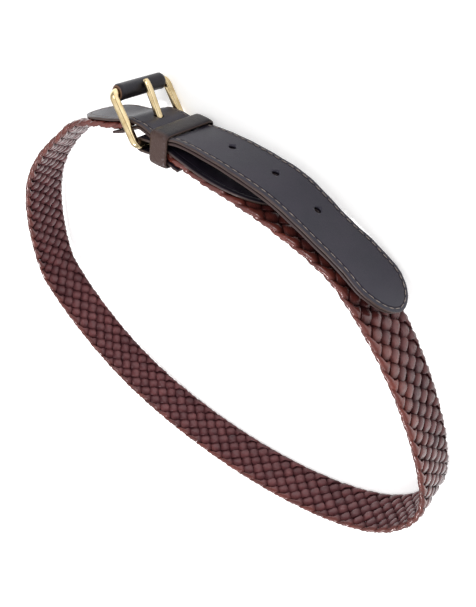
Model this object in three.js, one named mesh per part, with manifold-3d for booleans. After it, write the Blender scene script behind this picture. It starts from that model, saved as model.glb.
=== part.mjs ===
// A braided leather belt, buckled into a loop that stands on its lower edge.
// Millimetres, +Z up. The tab and buckle are on the -Y side, the buckle towards +X, and the origin
// is on the ground under the middle of the belt's box.
// A place on the belt is told as a seamstress would: how far along the strap, how far out from its
// middle surface, and how far up from its middle line. The strap winds once round from the buckle's
// hinge bar, clockwise seen from above, and its last stretch, the tab, lies over its first.
import * as THREE from 'three';
import Module from 'manifold-3d';
import { mergeVertices } from 'three/addons/utils/BufferGeometryUtils.js';

const wasm = await Module();
wasm.setup();

// The strap and its leather layers
const GIRTH = 939; // once round the loop, along the middle of the strap
const STRAP_WIDTH = 32;
const BRAID_THICKNESS = 4.2; // of the plaited strap at its middle
const BRAID_EDGE_THICKNESS = 2.8; // of the plaited strap at its two selvedges
const LEATHER = 1.5; // of every plain leather layer
const LEATHER_EDGE = 1.0; // of a leather layer where its burnished edge is rounded over
const EDGE_ROUNDING = 0.8; // how far in from the edge the rounding starts
const LAYER_GAP = 0.3; // between layers that are sewn or lie together

// The tab, measured along the strap from zero, where the strap has gone once round
const TAB_TIP = 146.5;
const TAB_TIP_ROUND = 24; // length of its rounded point
const TAB_BACK = 66; // from zero back to the tab's rounded rear end, sewn on the braid
const TAB_BACK_ROUND = 25;
const LINING_BACK = 32; // from zero back to the square rear end of the tab's lining
const BRAID_TAIL = 23; // from zero back to the braid's end, between face and lining
const LAYERS_OVERHANG = 1; // how far past the braid's end they still lie apart
const LAYERS_CLOSE = 9; // length over which face and lining close together past the braid
const HOLE_DIAMETER = 3.8;
const HOLE_PITCH = 26;
const FIRST_HOLE = 6; // from zero, under the keeper; the prong is in the one before it
const FREE_HOLES = 4;
const HOLE_DROP = 2; // how far the holes lie below the tab's middle line

// The chape, the folded leather that carries the buckle
const CHAPE_TONGUE = 64; // from zero to the rounded end of its outer layer
const CHAPE_ROUND = 34;
const CHAPE_INNER = 13; // from zero to the square end of its inner layer
const BRAID_HEAD = 2; // from zero to the start of the braid inside the chape
const SLOT_WIDTH = 5.4; // of the prong's slot in the fold

// The keeper loop
const KEEPER_WIDTH = 11;
const KEEPER_LEATHER = 1.5;
const KEEPER_AT = 2; // middle of the keeper, from zero
const KEEPER_CLEARANCE = 0.35;
const KEEPER_CORNER = 3; // outer corner radius

// The buckle
const HINGE_AT = 11; // from zero back to the hinge bar
const WIRE = 4.0; // brass wire's diameter
const BUCKLE_PLAY = 1.4; // between the strap's two edges and the side bars, in all
const BUCKLE_WIDTH = STRAP_WIDTH + BUCKLE_PLAY + 2 * WIRE; // over the side bars
const BUCKLE_LENGTH = 31.4; // over the hinge bar and the end bar
const BUCKLE_CORNER = 3.2; // of the wire's middle line
const BUCKLE_STAND = 36; // degrees that the frame leans back from square to the strap
const PRONG_WIDTH = 3.6;
const PRONG_THICKNESS = 3.2;
const PRONG_CLEARANCE = 0.35;
const ROLLER_END_PLAY = 0.8; // from the roller's end to the side bar
const ROLLER_LENGTH = BUCKLE_WIDTH - 2 * (WIRE + ROLLER_END_PLAY);
const ROLLER_DIAMETER = 7.6;
const ROLLER_CLEARANCE = 0.3;
const ROLLER_LAP = 0.9; // how far the sewn edge of the leather stands up from the roller
const ROLLER_LAP_AT = 215; // degrees round the roller from straight out, towards the front

// The strap winds outwards by this much in a turn, so that its last stretch clears its first
const CLIMB = 8.6;

// The loop's outline from above is a circle with a few swells on it. Each swell is a share of the
// mean radius, and its crest lies at a bearing in degrees from +X.
const SWELLS = [
  { lobes: 2, swell: 0.1066, bearing: 23.4 },
  { lobes: 3, swell: 0.0402, bearing: 60.0 },
  { lobes: 4, swell: 0.0043, bearing: -12.8 },
  { lobes: 5, swell: 0.0069, bearing: -23.8 },
  { lobes: 6, swell: 0.0067, bearing: 30.0 },
  { lobes: 7, swell: 0.0081, bearing: 5.9 },
  { lobes: 8, swell: 0.0047, bearing: 0.0 },
];
const BUCKLE_BEARING = 300; // where the outline's normal points at zero

// How the strap lies off its plain winding: along is a share of the girth, and past 1 is the tab
// over the strap. Lean is degrees that the upper edge tips out. Push and lift are shares of the
// strap's width that it is moved out and up.
const LIE = [
  { along: -0.0117, lean: 10, push: 0.075, lift: 0.06 },
  { along: 0.0, lean: 10.5, push: 0.083, lift: 0.045 },
  { along: 0.013, lean: 8, push: 0.012, lift: 0.028 },
  { along: 0.027, lean: 5, push: -0.036, lift: 0.016 },
  { along: 0.064, lean: 3, push: -0.034, lift: 0.003 },
  { along: 0.117, lean: 1, push: -0.019, lift: 0.0 },
  { along: 0.17, lean: 0, push: 0.0, lift: 0.0 },
  { along: 0.8935, lean: 2, push: 0.0, lift: 0.0 },
  { along: 0.9255, lean: 8, push: 0.016, lift: 0.008 },
  { along: 0.9372, lean: 9, push: -0.025, lift: 0.013 },
  { along: 0.9468, lean: 10, push: -0.065, lift: 0.022 },
  { along: 0.9553, lean: 12, push: -0.095, lift: 0.03 },
  { along: 0.9627, lean: 13, push: -0.095, lift: 0.038 },
  { along: 0.9712, lean: 13, push: -0.05, lift: 0.03 },
  { along: 0.9867, lean: 12, push: 0.083, lift: 0.026 },
  { along: 1.0, lean: 10.5, push: 0.008, lift: 0.032 },
  { along: 1.0132, lean: 12, push: 0.076, lift: 0.015 },
  { along: 1.0329, lean: 10.1, push: 0.108, lift: 0.008 },
  { along: 1.0538, lean: 8.3, push: 0.121, lift: 0.008 },
  { along: 1.0717, lean: 7.3, push: 0.116, lift: 0.01 },
  { along: 1.1038, lean: 10.1, push: -0.037, lift: 0.001 },
  { along: 1.1278, lean: 6.9, push: -0.046, lift: -0.034 },
  { along: 1.1427, lean: 5.6, push: 0.003, lift: -0.099 },
  { along: 1.1562, lean: 5.8, push: 0.026, lift: -0.15 },
];
// The braid's section: across is a share of the half width, thick a share between the selvedge's
// thickness and the middle's.
const BRAID_SECTION = [
  { across: -1, thick: 0 },
  { across: -0.88, thick: 0.7 },
  { across: -0.5, thick: 1 },
  { across: 0, thick: 1 },
  { across: 0.5, thick: 1 },
  { across: 0.88, thick: 0.7 },
  { across: 1, thick: 0 },
];

// Steps of the faceted forms
const BRAID_STEP = 9;
const LEATHER_STEP = 6;
const ROUND_STEPS = 7;
const FOLD_STEPS = 8;
const WIRE_SIDES = 10;
const CORNER_STEPS = 5;
const ROLLER_SIDES = 24;
const HOLE_SIDES = 16;

const DEGREE = Math.PI / 180;
const HALF_WIDTH = STRAP_WIDTH / 2;
const CHAPE_MIDDLE = BRAID_THICKNESS / 2 + LAYER_GAP + LEATHER / 2; // out to a layer on the braid
const TAB_HALF = LAYER_GAP / 2 + LEATHER; // half of the tab where its layers are together

// Value of a column of a table at x, on a smooth curve through its rows.
function readTable(rows, column, x) {
  const last = rows.length - 1;
  if (x <= rows[0].along) return rows[0][column];
  if (x >= rows[last].along) return rows[last][column];
  const i = rows.findIndex((row) => row.along > x) - 1;
  const slope = (k) => {
    if (k === 0 || k === last) return 0;
    const rise = rows[k + 1][column] - rows[k - 1][column];
    return rise / (rows[k + 1].along - rows[k - 1].along);
  };
  const span = rows[i + 1].along - rows[i].along;
  const t = (x - rows[i].along) / span;
  const ease = t * t * (3 - 2 * t);
  return rows[i][column] * (1 - ease) + rows[i + 1][column] * ease
    + span * t * (1 - t) * (slope(i) * (1 - t) - slope(i + 1) * t);
}

// The winding of the strap's middle, as points a fine step apart, each with its length along.
const winding = (() => {
  const meanRadius = GIRTH / (2 * Math.PI);
  const points = [];
  const extraTurn = 0.25;
  const stepsPerTurn = 2880;
  const before0 = extraTurn * stepsPerTurn;
  for (let k = -before0; k <= stepsPerTurn + before0; k += 1) {
    const turn = k / stepsPerTurn;
    const bearing = (BUCKLE_BEARING - 360 * turn) * DEGREE;
    let reach = meanRadius - CLIMB / 2 + CLIMB * turn;
    let slope = -CLIMB / (2 * Math.PI);
    for (const { lobes, swell, bearing: crest } of SWELLS) {
      const phase = lobes * (bearing - crest * DEGREE);
      reach += meanRadius * swell * Math.cos(phase);
      slope -= meanRadius * swell * lobes * Math.sin(phase);
    }
    const x = reach * Math.cos(bearing) - slope * Math.sin(bearing);
    const y = reach * Math.sin(bearing) + slope * Math.cos(bearing);
    const before = points[points.length - 1];
    const length = before ? before.length + Math.hypot(x - before.x, y - before.y) : 0;
    points.push({ x, y, bearing, length });
  }
  const zero = points[before0].length;
  for (const point of points) point.length -= zero;
  return points;
})();

// Point and bearing of the winding at a length along it.
function windingAt(along) {
  let low = 0;
  let high = winding.length - 1;
  while (high - low > 1) {
    const middle = (low + high) >> 1;
    if (winding[middle].length <= along) low = middle;
    else high = middle;
  }
  const a = winding[low];
  const b = winding[high];
  const t = (along - a.length) / (b.length - a.length);
  return {
    x: a.x + (b.x - a.x) * t,
    y: a.y + (b.y - a.y) * t,
    bearing: a.bearing + (b.bearing - a.bearing) * t,
  };
}

// Place on the strap's middle surface with its three directions: ahead along the strap, out of its
// face, and up its width.
function strapFrame(along) {
  const { x, y, bearing } = windingAt(along);
  const share = along / GIRTH;
  const lean = readTable(LIE, 'lean', share) * DEGREE;
  const push = STRAP_WIDTH * readTable(LIE, 'push', share);
  const lift = STRAP_WIDTH * readTable(LIE, 'lift', share);
  const level = new THREE.Vector3(Math.cos(bearing), Math.sin(bearing), 0);
  const ahead = new THREE.Vector3(Math.sin(bearing), -Math.cos(bearing), 0);
  const out = level.clone().multiplyScalar(Math.cos(lean)).setZ(-Math.sin(lean));
  const up = level.clone().multiplyScalar(Math.sin(lean)).setZ(Math.cos(lean));
  const origin = new THREE.Vector3(x, y, HALF_WIDTH + lift).addScaledVector(level, push);
  return { origin, ahead, out, up };
}

// The point that lies out from the strap's middle surface and up from its middle line.
function strapPoint(along, out, up) {
  const frame = strapFrame(along);
  return frame.origin.addScaledVector(frame.out, out).addScaledVector(frame.up, up);
}

// Places along a strip, closer together in its rounded ends.
function stations(from, to, roundFrom, roundTo, step) {
  const list = [];
  if (roundFrom > 0) {
    for (let k = 0; k < ROUND_STEPS; k += 1) {
      list.push(from + roundFrom * (1 - Math.cos((k / ROUND_STEPS) * Math.PI / 2)));
    }
  }
  const plainFrom = from + roundFrom;
  const plainTo = to - roundTo;
  const count = Math.ceil((plainTo - plainFrom) / step);
  for (let k = 0; k <= count; k += 1) list.push(plainFrom + ((plainTo - plainFrom) * k) / count);
  for (let k = 1; roundTo > 0 && k <= ROUND_STEPS; k += 1) {
    list.push(plainTo + roundTo * Math.sin((k / ROUND_STEPS) * Math.PI / 2));
  }
  return list;
}

// Half width of a strip with rounded ends, left a little blunt at the very end.
function roundedHalfWidth(at, from, to, roundFrom, roundTo) {
  const blunt = 0.09;
  let share = 0;
  if (roundFrom > 0 && at < from + roundFrom) share = (from + roundFrom - at) / roundFrom;
  if (roundTo > 0 && at > to - roundTo) share = (at - (to - roundTo)) / roundTo;
  return HALF_WIDTH * Math.max(blunt, Math.sqrt(Math.max(0, 1 - share * share)));
}

// One closed body from a geometry, with its corners shared.
function closed(geometry) {
  geometry.deleteAttribute('normal');
  geometry.deleteAttribute('uv');
  return mergeVertices(geometry, 1e-4);
}

// A strip of sheet: a box with a station at each place along, moved to where the sheet lies.
// place gives the point at a place along, out from the sheet's middle and up its width.
function strip(places, section, halfWidthAt, place) {
  const box = new THREE.BoxGeometry(1, 1, 1, places.length - 1, section.length - 1, 1);
  const corners = box.attributes.position;
  for (let k = 0; k < corners.count; k += 1) {
    const along = places[Math.round((corners.getX(k) + 0.5) * (places.length - 1))];
    const row = Math.round((corners.getY(k) + 0.5) * (section.length - 1));
    const { up, thickness } = section[row](halfWidthAt(along));
    const point = place(along, -Math.sign(corners.getZ(k)) * thickness / 2, up);
    corners.setXYZ(k, point.x, point.y, point.z);
  }
  return closed(box);
}

// A leather layer's section: full thickness, thinner at its two rounded edges.
const leatherSection = [-1, -1, 0, 1, 1].map((side, k) => (halfWidth) => {
  const edge = k === 0 || k === 4;
  const up = edge ? side * halfWidth : side * Math.max(0, halfWidth - EDGE_ROUNDING);
  return { up, thickness: edge ? LEATHER_EDGE : LEATHER };
});

const braidSection = BRAID_SECTION.map(({ across, thick }) => (halfWidth) => ({
  up: across * halfWidth,
  thickness: BRAID_EDGE_THICKNESS + (BRAID_THICKNESS - BRAID_EDGE_THICKNESS) * thick,
}));

// Joining and cutting of closed bodies
function toSolid(geometry) {
  return new wasm.Manifold(new wasm.Mesh({
    numProp: 3,
    vertProperties: new Float32Array(geometry.attributes.position.array),
    triVerts: new Uint32Array(geometry.index.array),
  }));
}

function toGeometry(solid) {
  const mesh = solid.getMesh();
  const geometry = new THREE.BufferGeometry();
  geometry.setAttribute('position', new THREE.BufferAttribute(mesh.vertProperties, 3));
  geometry.setIndex(new THREE.BufferAttribute(mesh.triVerts, 1));
  return geometry;
}

function cut(geometry, tools) {
  let solid = toSolid(geometry);
  for (const tool of tools) solid = solid.subtract(toSolid(tool));
  return toGeometry(solid);
}

// Moves a geometry into a frame with its X, Y and Z along three given directions.
function placeIn(geometry, xAxis, yAxis, zAxis, origin) {
  const matrix = new THREE.Matrix4().makeBasis(xAxis, yAxis, zAxis).setPosition(origin);
  return geometry.applyMatrix4(matrix);
}

// The plaited strap, from inside the chape to between the tab's two layers
function braidGeometry() {
  const to = GIRTH - BRAID_TAIL;
  const places = stations(BRAID_HEAD, to, 0, 0, BRAID_STEP);
  return strip(places, braidSection, () => HALF_WIDTH, strapPoint);
}

// How far out a tab layer's middle lies: on the braid at the rear, on the other layer further on.
function layerOut(along) {
  const apart = -BRAID_TAIL + LAYERS_OVERHANG;
  const past = THREE.MathUtils.smoothstep(along, apart, apart + LAYERS_CLOSE);
  return THREE.MathUtils.lerp(CHAPE_MIDDLE, LAYER_GAP / 2 + LEATHER / 2, past);
}

// A layer of the tab, on the outer (side 1) or inner (side -1) face, with all its holes.
function tabLayerGeometry(side, from, roundFrom) {
  const places = stations(from, TAB_TIP, roundFrom, TAB_TIP_ROUND, LEATHER_STEP);
  const halfWidthAt = (at) => roundedHalfWidth(at, from, TAB_TIP, roundFrom, TAB_TIP_ROUND);
  const place = (at, out, up) => strapPoint(GIRTH + at, side * layerOut(at) + out, up);
  const layer = strip(places, leatherSection, halfWidthAt, place);
  return cut(layer, [prongPassage(), ...tabHoles()]);
}

// Round punches through the tab, square to its face.
function tabHoles() {
  const punches = [];
  for (let k = 0; k < FREE_HOLES; k += 1) {
    const frame = strapFrame(GIRTH + FIRST_HOLE + k * HOLE_PITCH);
    const radius = HOLE_DIAMETER / 2;
    const depth = 4 * TAB_HALF;
    const punch = closed(new THREE.CylinderGeometry(radius, radius, depth, HOLE_SIDES));
    const across = new THREE.Vector3().crossVectors(frame.out, frame.up);
    const centre = frame.origin.addScaledVector(frame.up, -HOLE_DROP);
    punches.push(placeIn(punch, frame.up, frame.out, across.negate(), centre));
  }
  return punches;
}

// The buckle's own frame: reach from the hinge bar towards the end bar, front out of the face that
// the prong lies on, and up and down along the bar.
function buckleFrame() {
  const { origin, ahead, out, up } = strapFrame(-HINGE_AT);
  const stand = BUCKLE_STAND * DEGREE;
  const reach = out.clone().multiplyScalar(Math.cos(stand)).addScaledVector(ahead, -Math.sin(stand));
  const front = new THREE.Vector3().crossVectors(reach, up);
  return { origin, reach, front, up, down: up.clone().negate() };
}
const BAR_SPACING = BUCKLE_LENGTH - WIRE; // hinge bar's middle to end bar's middle

// The prong's outline seen along the hinge bar: a loop round the bar, a straight shank, and a tip
// that lies on the front of the roller.
function prongOutline(grow) {
  const bore = WIRE / 2 + PRONG_CLEARANCE - grow;
  const loop = WIRE / 2 + PRONG_CLEARANCE + PRONG_THICKNESS * 0.6 + grow;
  const half = PRONG_THICKNESS / 2 + grow;
  const rest = ROLLER_DIAMETER / 2 + PRONG_CLEARANCE + PRONG_THICKNESS / 2;
  const tip = BAR_SPACING + ROLLER_DIAMETER * 0.15 + grow;
  const root = loop * 0.75;
  const outline = new THREE.Shape();
  outline.moveTo(root, -Math.sqrt(loop * loop - root * root));
  outline.bezierCurveTo(tip * 0.3, -half * 0.4, tip * 0.6, rest - half, tip - half, rest - half);
  outline.absarc(tip - half, rest, half, -Math.PI / 2, Math.PI / 2, false);
  outline.bezierCurveTo(tip * 0.6, rest + half, tip * 0.4, half * 2.6, root,
    Math.sqrt(loop * loop - root * root));
  const rootAngle = Math.acos(root / loop);
  outline.absarc(0, 0, loop, rootAngle, 2 * Math.PI - rootAngle, false);
  if (grow === 0) {
    const hole = new THREE.Path();
    hole.absarc(0, 0, bore, 0, 2 * Math.PI, true);
    outline.holes.push(hole);
  }
  return outline;
}

function prongBody(grow) {
  const width = PRONG_WIDTH + 2 * grow;
  const options = { depth: width, curveSegments: 10, bevelEnabled: false };
  const body = new THREE.ExtrudeGeometry(prongOutline(grow), options);
  body.translate(0, 0, -width / 2);
  const { origin, reach, front, down } = buckleFrame();
  return placeIn(closed(body), reach, front, down, origin);
}

// The room that the prong takes where it goes through the tab.
function prongPassage() {
  return prongBody(PRONG_CLEARANCE);
}

// The folded chape: its outer layer from the tongue to the hinge bar, round it, and back inside.
function chapeGeometry() {
  const outer = CHAPE_TONGUE + HINGE_AT;
  const fold = Math.PI * CHAPE_MIDDLE;
  const inner = HINGE_AT + CHAPE_INNER;
  const places = [
    ...stations(0, outer, CHAPE_ROUND, 0, LEATHER_STEP),
    ...Array.from({ length: FOLD_STEPS - 1 }, (_, k) => outer + (fold * (k + 1)) / FOLD_STEPS),
    ...stations(outer + fold, outer + fold + inner, 0, 0, LEATHER_STEP),
  ];
  const halfWidthAt = (at) => roundedHalfWidth(at, 0, outer + fold + inner, CHAPE_ROUND, 0);
  const place = (at, out, up) => {
    if (at <= outer) return strapPoint(CHAPE_TONGUE - at, CHAPE_MIDDLE - out, up);
    if (at >= outer + fold) {
      return strapPoint(-HINGE_AT + (at - outer - fold), -CHAPE_MIDDLE + out, up);
    }
    const angle = (at - outer) / CHAPE_MIDDLE;
    const radius = CHAPE_MIDDLE - out;
    return strapPoint(-HINGE_AT - radius * Math.sin(angle), radius * Math.cos(angle), up);
  };
  const leather = strip(places, leatherSection, halfWidthAt, place);
  return cut(leather, [chapeSlot()]);
}

// The slot that lets the prong turn on the hinge bar, cut through the fold.
function chapeSlot() {
  const past = 2 * CHAPE_MIDDLE;
  const from = -HINGE_AT - past;
  const to = BRAID_HEAD - SLOT_WIDTH / 2;
  const slot = new THREE.BoxGeometry(to - from, SLOT_WIDTH, 2 * past, 4, 1, 1);
  slot.translate((from + to) / 2, 0, 0);
  const corners = slot.attributes.position;
  for (let k = 0; k < corners.count; k += 1) {
    const point = strapPoint(corners.getX(k), -corners.getZ(k), corners.getY(k));
    corners.setXYZ(k, point.x, point.y, point.z);
  }
  return closed(slot);
}

// A rectangle with round corners, from its lowest corner.
function roundedRectangle(shape, left, low, right, high, radius) {
  shape.moveTo(left + radius, low);
  shape.lineTo(right - radius, low);
  shape.absarc(right - radius, low + radius, radius, -Math.PI / 2, 0, false);
  shape.lineTo(right, high - radius);
  shape.absarc(right - radius, high - radius, radius, 0, Math.PI / 2, false);
  shape.lineTo(left + radius, high);
  shape.absarc(left + radius, high - radius, radius, Math.PI / 2, Math.PI, false);
  shape.lineTo(left, low + radius);
  shape.absarc(left + radius, low + radius, radius, Math.PI, 1.5 * Math.PI, false);
  return shape;
}

// The keeper: a closed leather loop round the chape and the tab, as close as both let it be.
function keeperGeometry() {
  const { origin, ahead, out, up } = strapFrame(KEEPER_AT);
  let inside = 0;
  let outside = 0;
  let low = 0;
  let high = 0;
  for (const along of [-KEEPER_WIDTH / 2, 0, KEEPER_WIDTH / 2].map((past) => KEEPER_AT + past)) {
    for (const side of [-HALF_WIDTH, HALF_WIDTH]) {
      const chape = strapPoint(along, -CHAPE_MIDDLE - LEATHER / 2, side).sub(origin);
      const tab = strapPoint(GIRTH + along, TAB_HALF, side).sub(origin);
      inside = Math.min(inside, chape.dot(out));
      outside = Math.max(outside, tab.dot(out));
      low = Math.min(low, chape.dot(up), tab.dot(up));
      high = Math.max(high, chape.dot(up), tab.dot(up));
    }
  }
  const wall = KEEPER_LEATHER;
  const room = KEEPER_CLEARANCE;
  const rectangle = (shape, more, radius) => roundedRectangle(
    shape, inside - more, low - more, outside + more, high + more, radius,
  );
  const band = rectangle(new THREE.Shape(), room + wall, KEEPER_CORNER);
  band.holes.push(rectangle(new THREE.Path(), room, KEEPER_CORNER - wall * 0.9));
  const loop = new THREE.ExtrudeGeometry(band, {
    depth: KEEPER_WIDTH, bevelEnabled: false, curveSegments: 4,
  });
  loop.translate(0, 0, -KEEPER_WIDTH / 2);
  return placeIn(closed(loop), out, up, ahead, origin);
}

// The buckle's frame: round wire bent to a rectangle, hinge bar and end bar in one.
function buckleGeometry() {
  const half = (BUCKLE_WIDTH - WIRE) / 2;
  const outline = roundedRectangle(new THREE.Shape(), 0, -half, BAR_SPACING, half, BUCKLE_CORNER);
  const rings = [];
  for (const bend of outline.curves) {
    const steps = bend.isLineCurve ? 2 : CORNER_STEPS;
    for (let k = 0; k < steps; k += 1) {
      const at = bend.getPoint(k / steps);
      const side = bend.getTangent(k / steps);
      rings.push({ at, side: new THREE.Vector2(side.y, -side.x) });
    }
  }
  const wire = new THREE.TorusGeometry(1, 0.5, WIRE_SIDES, rings.length);
  const corners = wire.attributes.position;
  for (let k = 0; k < corners.count; k += 1) {
    const ring = rings[(k % (rings.length + 1)) % rings.length];
    const around = (Math.floor(k / (rings.length + 1)) / WIRE_SIDES) * 2 * Math.PI;
    const outward = (WIRE / 2) * Math.cos(around);
    corners.setXYZ(k, ring.at.x + ring.side.x * outward, ring.at.y + ring.side.y * outward,
      (WIRE / 2) * Math.sin(around));
  }
  const { origin, reach, front, up } = buckleFrame();
  return placeIn(closed(wire), reach, up, front, origin);
}

// The roller: leather wrapped round the end bar, its sewn edge lapped and standing a little proud.
function rollerGeometry() {
  const bore = WIRE / 2 + ROLLER_CLEARANCE;
  const outer = ROLLER_DIAMETER / 2;
  const lapAt = ROLLER_LAP_AT * DEGREE;
  const wrap = new THREE.Shape();
  const rim = [];
  for (let k = 0; k < ROLLER_SIDES; k += 1) {
    const turn = k / ROLLER_SIDES;
    const radius = outer + ROLLER_LAP * turn * turn * turn * turn;
    const angle = lapAt + turn * 2 * Math.PI;
    rim.push(new THREE.Vector2(radius * Math.cos(angle), radius * Math.sin(angle)));
  }
  wrap.setFromPoints(rim);
  const hole = new THREE.Path();
  hole.absarc(0, 0, bore, 0, 2 * Math.PI, true);
  wrap.holes.push(hole);
  const tube = new THREE.ExtrudeGeometry(wrap, {
    depth: ROLLER_LENGTH, bevelEnabled: false, curveSegments: ROLLER_SIDES / 2,
  });
  tube.translate(0, 0, -ROLLER_LENGTH / 2);
  const { origin, reach, front, down } = buckleFrame();
  const middle = origin.clone().addScaledVector(reach, BAR_SPACING);
  return placeIn(closed(tube), reach, front, down, middle);
}

// Materials
const plaitedLeather = new THREE.MeshStandardMaterial({ color: 0x4a2a26, roughness: 0.5 });
const blackLeather = new THREE.MeshStandardMaterial({ color: 0x2b2529, roughness: 0.45 });
const brownLining = new THREE.MeshStandardMaterial({ color: 0x3a2420, roughness: 0.6 });
const brass = new THREE.MeshStandardMaterial({ color: 0xd9b25a, roughness: 0.22, metalness: 1 });

function piece(name, geometry, material) {
  const mesh = new THREE.Mesh(geometry, material);
  mesh.name = name;
  return mesh;
}

const loop = new THREE.Group();
loop.add(
  piece('braided_strap', braidGeometry(), plaitedLeather),
  piece('tab_face', tabLayerGeometry(1, -TAB_BACK, TAB_BACK_ROUND), blackLeather),
  piece('tab_lining', tabLayerGeometry(-1, -LINING_BACK, 0), brownLining),
  piece('chape', chapeGeometry(), blackLeather),
  piece('keeper', keeperGeometry(), blackLeather),
  piece('buckle_frame', buckleGeometry(), brass),
  piece('prong', prongBody(0), brass),
  piece('roller_wrap', rollerGeometry(), blackLeather),
);

// The buckle is wider than the strap, so the loop stands on the buckle's lowest corner and on the
// lower edge of the strap opposite. It is tipped about the line of that edge until both are level.
const FAR_BEARING = 129; // where the outline's normal points at the edge that it stands on

function lowestBelow(mesh, farLine) {
  const corners = mesh.geometry.attributes.position;
  let steepest = 0;
  for (let k = 0; k < corners.count; k += 1) {
    const reach = farLine(corners.getX(k), corners.getY(k));
    if (reach > GIRTH / 8) steepest = Math.max(steepest, -corners.getZ(k) / reach);
  }
  return steepest;
}

function standUp(group) {
  const bearing = FAR_BEARING * DEGREE;
  const far = new THREE.Vector3(Math.cos(bearing), Math.sin(bearing), 0);
  let edge = -Infinity;
  for (const point of winding) edge = Math.max(edge, point.x * far.x + point.y * far.y);
  const farLine = (x, y) => edge - (x * far.x + y * far.y);
  const slope = Math.max(...group.children.map((mesh) => lowestBelow(mesh, farLine)));
  const axis = new THREE.Vector3(-far.y, far.x, 0);
  group.rotateOnAxis(axis, Math.atan(slope));
  group.updateMatrixWorld(true);
  const box = new THREE.Box3().setFromObject(group, true);
  const middle = box.getCenter(new THREE.Vector3());
  group.position.set(-middle.x, -middle.y, -box.min.z);
}
standUp(loop);

const belt = new THREE.Group();
belt.add(loop);
belt.updateMatrixWorld(true);

export default belt;
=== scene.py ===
# %% [markdown]
# # A braided leather belt, buckled and stood on its edge
# The solid model comes in first. It never moves: it says where each piece is, and the pieces made
# here take its place in the picture with their plait, stitches, edges and polish.

# %% The frame
import math

import bmesh
import bpy
import numpy as np
from mathutils import Matrix, Vector


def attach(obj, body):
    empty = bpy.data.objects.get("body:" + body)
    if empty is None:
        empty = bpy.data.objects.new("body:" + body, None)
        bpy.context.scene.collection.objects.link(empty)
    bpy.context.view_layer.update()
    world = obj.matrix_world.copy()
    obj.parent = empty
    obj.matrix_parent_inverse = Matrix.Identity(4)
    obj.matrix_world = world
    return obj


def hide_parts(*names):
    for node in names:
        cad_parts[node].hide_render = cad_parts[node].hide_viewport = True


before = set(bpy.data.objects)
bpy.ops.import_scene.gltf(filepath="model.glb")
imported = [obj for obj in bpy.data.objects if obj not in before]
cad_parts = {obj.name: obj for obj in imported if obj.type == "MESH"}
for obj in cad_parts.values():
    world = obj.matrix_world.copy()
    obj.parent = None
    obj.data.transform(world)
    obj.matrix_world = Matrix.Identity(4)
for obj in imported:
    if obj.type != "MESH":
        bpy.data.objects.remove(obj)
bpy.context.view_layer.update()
MM = 0.001
print("solids:", sorted(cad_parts))

# %% [markdown]
# ## The strap's measures
# A belt maker thinks of the strap as a flat strip: so far along, so far across and so far out of
# its face. Every leather piece here is cut and sewn in that flat strip first, and bent round the
# waist last, so the measures below are the strip's own.

# %% Measures of the strap and its leather
GIRTH = 939 * MM
STRAP_WIDTH = 32 * MM
HALF_WIDTH = STRAP_WIDTH / 2
BRAID_THICKNESS = 4.2 * MM
LEATHER = 1.5 * MM
LAYER_GAP = 0.3 * MM
CHAPE_MIDDLE = BRAID_THICKNESS / 2 + LAYER_GAP + LEATHER / 2
TAB_MIDDLE = LAYER_GAP / 2 + LEATHER / 2
TAB_TIP, TAB_TIP_ROUND = 146.5 * MM, 24 * MM
TAB_BACK, TAB_BACK_ROUND = 66 * MM, 25 * MM
LINING_BACK = 32 * MM
BRAID_TAIL = 23 * MM
LAYERS_CLOSE = 9 * MM
BRAID_HEAD = 2 * MM
HINGE_AT = 11 * MM

# %% [markdown]
# ## The way round the waist
# Seen from above the belt is a circle with a few swells on it. Its outline is told by how far its
# tangent lies from the middle, so the strap runs smoothly and its length can be added up. A second
# table says how the strap leans, shifts and lifts off that plain winding where it was buckled.

# %% The winding seen from above
CLIMB = 8.6 * MM
BUCKLE_BEARING = math.radians(300)
SWELLS = [
    (2, 0.1066, 23.4),
    (3, 0.0402, 60.0),
    (4, 0.0043, -12.8),
    (5, 0.0069, -23.8),
    (6, 0.0067, 30.0),
    (7, 0.0081, 5.9),
    (8, 0.0047, 0.0),
]
STEPS_PER_TURN = 2880
turns = np.arange(-STEPS_PER_TURN // 4, STEPS_PER_TURN * 5 // 4 + 1) / STEPS_PER_TURN
bearings = BUCKLE_BEARING - 2 * math.pi * turns
mean_radius = GIRTH / (2 * math.pi)
reach = mean_radius + CLIMB * (turns - 0.5)
slope = np.full(len(turns), -CLIMB / (2 * math.pi))
for lobes, swell, crest in SWELLS:
    phase = lobes * (bearings - math.radians(crest))
    reach = reach + mean_radius * swell * np.cos(phase)
    slope = slope - mean_radius * swell * lobes * np.sin(phase)
winding_x = reach * np.cos(bearings) - slope * np.sin(bearings)
winding_y = reach * np.sin(bearings) + slope * np.cos(bearings)
steps = np.hypot(np.diff(winding_x), np.diff(winding_y))
lengths = np.concatenate([[0], np.cumsum(steps)])
lengths = lengths - lengths[STEPS_PER_TURN // 4]
print("once round: %.1f mm" % (lengths[STEPS_PER_TURN * 5 // 4] / MM))

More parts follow.
